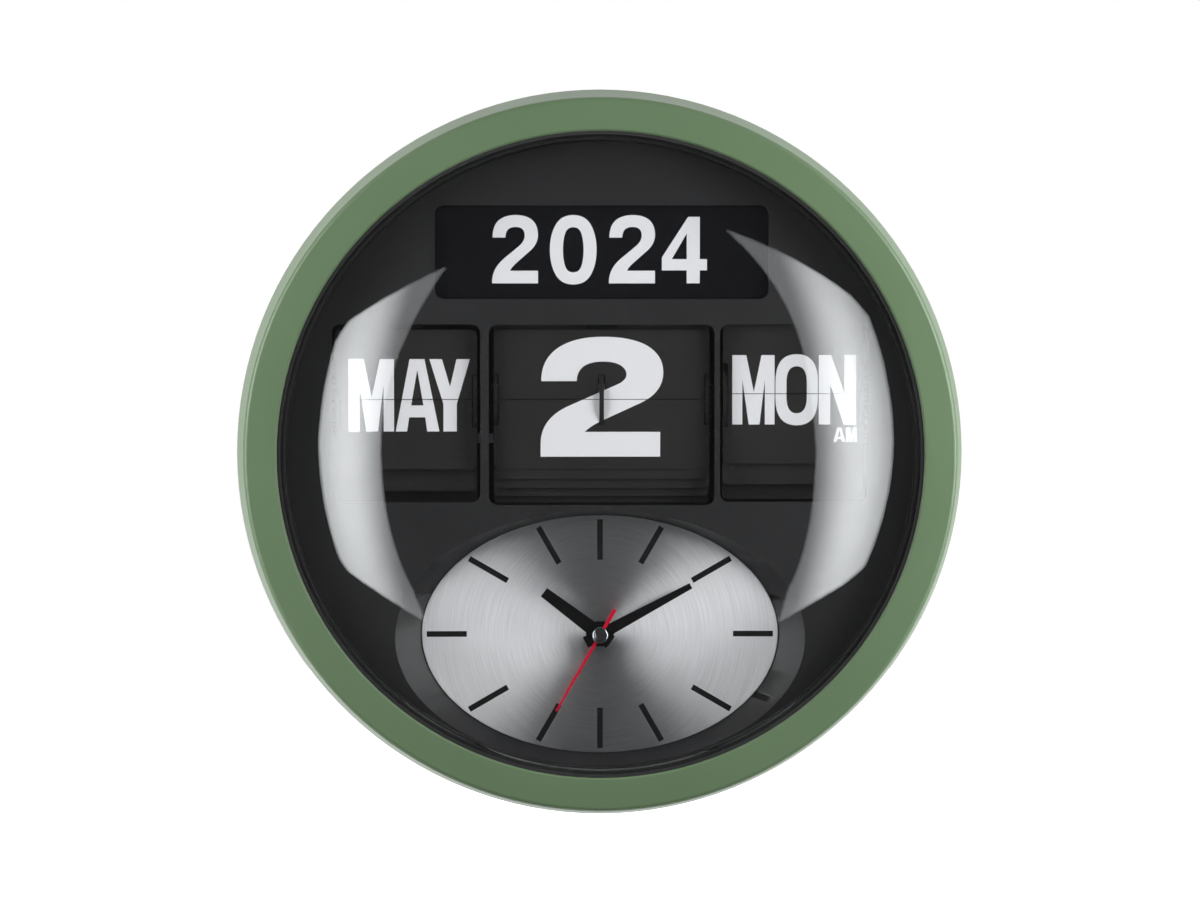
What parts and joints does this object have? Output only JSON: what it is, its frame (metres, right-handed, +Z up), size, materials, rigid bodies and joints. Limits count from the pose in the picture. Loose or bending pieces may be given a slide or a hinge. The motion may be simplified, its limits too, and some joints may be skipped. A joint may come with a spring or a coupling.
{
  "type": "flip wall clock",
  "caption": "Round wall clock with a green ring case, a domed clear lens, a flip calendar of month, date and weekday leaves, and an oval dial below.",
  "frame": {"origin": "middle of the flat back face, where the clock lies against the wall", "axes": "+Z up, the front with the dial faces -Y, +Y points into the wall, +X to the right seen from the front"},
  "size_m": [0.32, 0.132, 0.32],
  "materials": {
    "case_green": "satin",
    "lens": "gloss",
    "gasket": "matte",
    "face_black": "fine grain",
    "card_black": "satin print",
    "leaf_black": "satin",
    "grey_plastic": "satin",
    "black_plastic": "satin",
    "plate_steel": "zinc plated",
    "spring_steel": "bright",
    "dial_aluminium": "spun, brushed",
    "gear_brass": "bright",
    "hand_black": "satin",
    "hand_red": "satin",
    "cap_chrome": "polished",
    "copper_winding": "enamelled wire",
    "board_green": "satin",
    "magnet_grey": "satin",
    "cell_sleeve": "gloss"
  },
  "bodies": {
    "case": {"bezel": "case_green", "rear_case": "case_green", "dome_lens": "lens", "lens_gasket": "gasket", "lens_retainer": "black_plastic", "retainer_screws": "plate_steel", "case_screws": "plate_steel", "hanger_plate": "plate_steel", "hanger_screws": "plate_steel", "face_plate": "face_black", "plate_screws": "plate_steel", "dial_plate": "dial_aluminium", "card_holder": "grey_plastic", "left_side_plate": "plate_steel", "left_inner_plate": "plate_steel", "right_inner_plate": "plate_steel", "right_side_plate": "plate_steel", "cross_rods": "plate_steel", "drum_axle": "plate_steel", "axle_clips": "plate_steel", "month_lower_leaf": "leaf_black", "date_lower_leaf": "leaf_black", "weekday_lower_leaf": "leaf_black", "month_leaf_stack": "leaf_black", "date_leaf_stack": "leaf_black", "weekday_leaf_stack": "leaf_black", "leaf_catches": "hand_black", "detent_springs": "spring_steel", "calendar_motor": "plate_steel", "movement_case": "black_plastic", "movement_cover": "black_plastic", "coil": "copper_winding", "stator": "magnet_grey", "circuit_board": "board_green", "fixing_nut": "hand_black", "battery_cell": "cell_sleeve", "battery_contacts": "spring_steel"},
    "weekday_drum_body": {"weekday_drum": "black_plastic"},
    "date_drum_body": {"date_drum": "black_plastic"},
    "month_drum_body": {"month_drum": "black_plastic"},
    "month_leaf": {"month_upper_leaf": "leaf_black"},
    "date_leaf": {"date_upper_leaf": "leaf_black"},
    "weekday_leaf": {"weekday_upper_leaf": "leaf_black"},
    "month_wheel_body": {"month_thumbwheel": "black_plastic"},
    "weekday_wheel_body": {"weekday_thumbwheel": "black_plastic"},
    "motor_shaft": {"motor_pinion": "gear_brass"},
    "carry_shaft": {"carry_wheel": "black_plastic"},
    "second_train": {"second_wheel": "gear_brass", "second_hand": "hand_red", "centre_cap": "cap_chrome"},
    "minute_train": {"centre_wheel": "gear_brass", "minute_hand": "hand_black"},
    "hour_train": {"hour_wheel": "gear_brass", "hour_hand": "hand_black"},
    "third_shaft": {"third_wheel": "gear_brass"},
    "rotor_shaft": {"rotor": "magnet_grey"},
    "minute_wheel_body": {"minute_wheel": "gear_brass"},
    "knob": {"set_knob": "grey_plastic"},
    "door": {"battery_door": "case_green"},
    "card": {"year_card": "card_black"}
  },
  "joints": [
    {"name": "second_turn", "type": "hinge", "parent": "case", "child": "second_train", "pos_m": [0, -0.05, -0.0797], "axis": [0, 1, 0], "continuous": true},
    {"name": "minute_turn", "type": "hinge", "parent": "case", "child": "minute_train", "pos_m": [0, -0.05, -0.0797], "axis": [0, 1, 0], "continuous": true},
    {"name": "hour_turn", "type": "hinge", "parent": "case", "child": "hour_train", "pos_m": [0, -0.05, -0.0797], "axis": [0, 1, 0], "continuous": true},
    {"name": "third_turn", "type": "hinge", "parent": "case", "child": "third_shaft", "pos_m": [0.00799, -0.045, -0.08261], "axis": [0, 1, 0], "continuous": true},
    {"name": "rotor_turn", "type": "hinge", "parent": "case", "child": "rotor_shaft", "pos_m": [-0.0077, -0.045, -0.07611], "axis": [0, 1, 0], "continuous": true},
    {"name": "minute_wheel_turn", "type": "hinge", "parent": "case", "child": "minute_wheel_body", "pos_m": [0, -0.05, -0.0713], "axis": [0, 1, 0], "continuous": true},
    {"name": "set_knob_turn", "type": "hinge", "parent": "case", "child": "knob", "pos_m": [0.00594, -0.02, -0.06536], "axis": [0, 1, 0], "continuous": true},
    {"name": "weekday_turn", "type": "hinge", "parent": "case", "child": "weekday_drum_body", "pos_m": [0.085, -0.038, 0.0236], "axis": [1, 0, 0], "continuous": true},
    {"name": "date_turn", "type": "hinge", "parent": "case", "child": "date_drum_body", "pos_m": [0.0007, -0.038, 0.0236], "axis": [1, 0, 0], "continuous": true},
    {"name": "month_turn", "type": "hinge", "parent": "case", "child": "month_drum_body", "pos_m": [-0.085, -0.038, 0.0236], "axis": [1, 0, 0], "continuous": true},
    {"name": "weekday_wheel_turn", "type": "hinge", "parent": "case", "child": "weekday_wheel_body", "pos_m": [0.12, -0.0155, 0.0236], "axis": [1, 0, 0], "continuous": true},
    {"name": "month_wheel_turn", "type": "hinge", "parent": "case", "child": "month_wheel_body", "pos_m": [-0.12, -0.0155, 0.0236], "axis": [1, 0, 0], "continuous": true},
    {"name": "motor_turn", "type": "hinge", "parent": "case", "child": "motor_shaft", "pos_m": [0.118, -0.05214, 0.00946], "axis": [1, 0, 0], "continuous": true},
    {"name": "carry_turn", "type": "hinge", "parent": "case", "child": "carry_shaft", "pos_m": [0.051, -0.04147, 0.0039], "axis": [1, 0, 0], "continuous": true},
    {"name": "month_leaf_fall", "type": "hinge", "parent": "case", "child": "month_leaf", "pos_m": [-0.085, -0.06, 0.0236], "axis": [1, 0, 0], "range_deg": [0, 180]},
    {"name": "date_leaf_fall", "type": "hinge", "parent": "case", "child": "date_leaf", "pos_m": [0.0007, -0.06, 0.0236], "axis": [1, 0, 0], "range_deg": [0, 180]},
    {"name": "weekday_leaf_fall", "type": "hinge", "parent": "case", "child": "weekday_leaf", "pos_m": [0.085, -0.06, 0.026], "axis": [1, 0, 0], "range_deg": [0, 180]},
    {"name": "door_hinge", "type": "hinge", "parent": "case", "child": "door", "pos_m": [0, -0.0013, -0.1287], "axis": [-1, 0, 0], "range_deg": [0, 100]},
    {"name": "card_slide", "type": "slide", "parent": "case", "child": "card", "axis": [1, 0, 0], "range_m": [0, 0.026]}
  ],
  "couplings": [
    {"joint": "minute_turn", "follows": "second_turn", "ratio": 0.016667},
    {"joint": "hour_turn", "follows": "second_turn", "ratio": 0.0013889},
    {"joint": "third_turn", "follows": "second_turn", "ratio": -0.13333},
    {"joint": "rotor_turn", "follows": "second_turn", "ratio": -7.5},
    {"joint": "minute_wheel_turn", "follows": "second_turn", "ratio": -0.0055556},
    {"joint": "set_knob_turn", "follows": "second_turn", "ratio": 0.016667},
    {"joint": "weekday_wheel_turn", "follows": "weekday_turn", "ratio": -2},
    {"joint": "motor_turn", "follows": "weekday_turn", "ratio": -3},
    {"joint": "carry_turn", "follows": "weekday_turn", "ratio": -0.875},
    {"joint": "date_turn", "follows": "weekday_turn", "ratio": 0.22581},
    {"joint": "month_wheel_turn", "follows": "month_turn", "ratio": -2}
  ]
}
